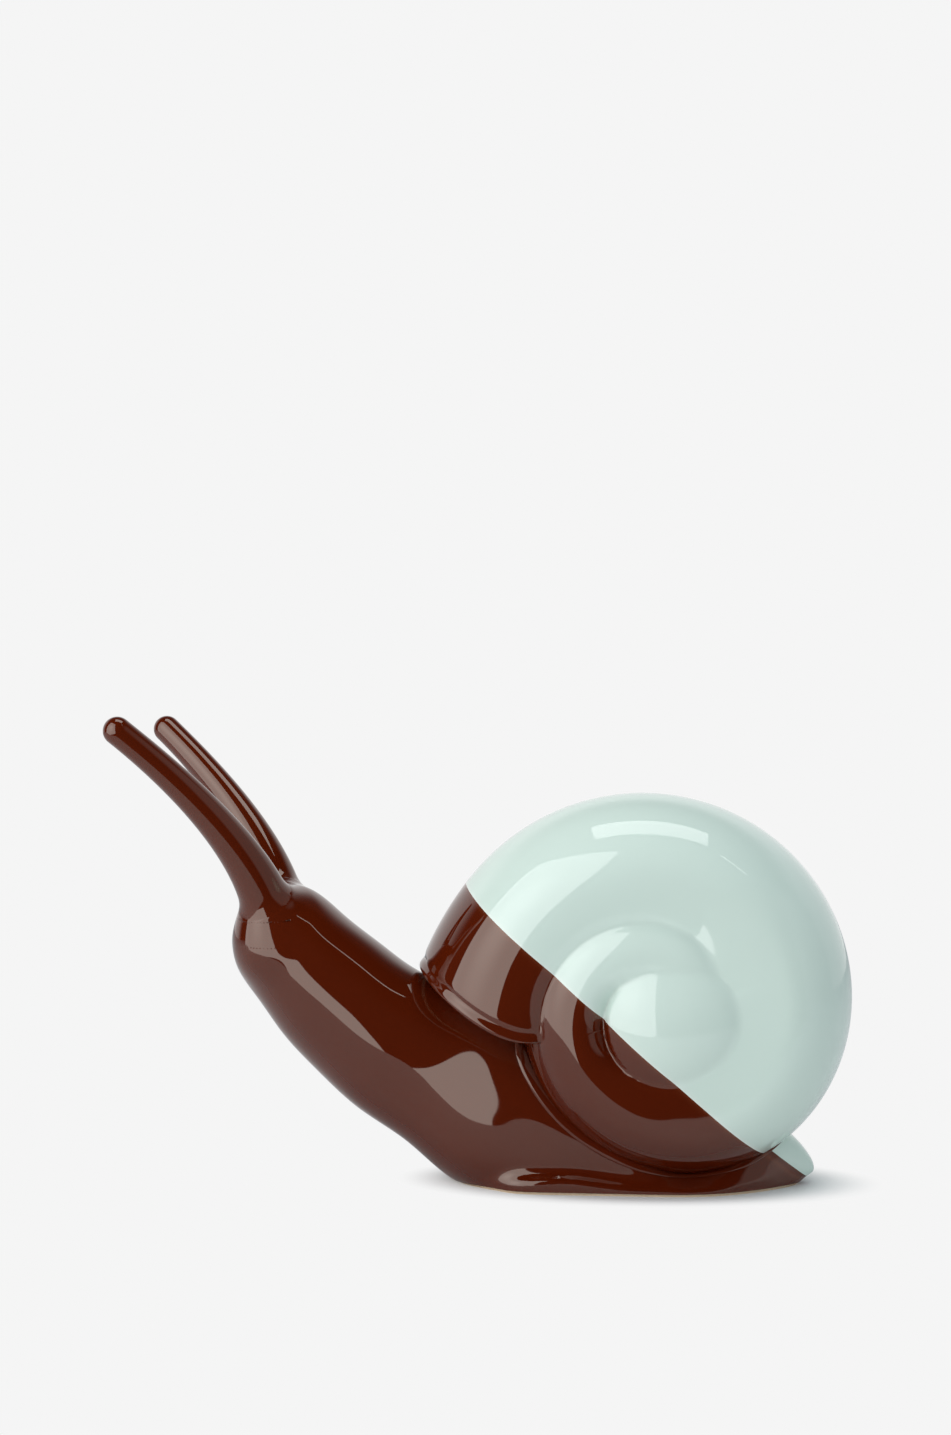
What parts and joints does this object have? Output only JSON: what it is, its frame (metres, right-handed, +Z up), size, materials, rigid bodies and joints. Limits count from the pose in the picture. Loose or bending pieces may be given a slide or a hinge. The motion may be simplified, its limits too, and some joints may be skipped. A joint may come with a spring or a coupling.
{
  "type": "snail figurine",
  "caption": "Ceramic snail ornament with raised neck and tentacles and a coiled shell, dipped in glossy brown and pale mint glaze, standing on a flat dry foot.",
  "frame": {"origin": "middle of the sole, on the surface that the figure stands on", "axes": "+X from the head to the tail, +Y to the snail's right, +Z up"},
  "size_m": [0.2907, 0.1022, 0.1853],
  "materials": {
    "bisque": "bare fired clay, matt and slightly gritty",
    "joining_slip": "fired joining clay, matt",
    "brown_glaze": "glossy chocolate brown glaze",
    "mint_glaze": "glossy pale mint glaze"
  },
  "bodies": {
    "root": {"body_casting": "bisque", "shell_casting": "bisque", "left_tentacle": "bisque", "right_tentacle": "bisque", "shell_joint_slip": "joining_slip", "tentacle_joint_slip": "joining_slip", "brown_glaze_body": "brown_glaze", "brown_glaze_shell": "brown_glaze", "brown_glaze_left_tentacle": "brown_glaze", "brown_glaze_right_tentacle": "brown_glaze", "mint_glaze_shell": "mint_glaze", "mint_glaze_tail": "mint_glaze"}
  },
  "joints": []
}
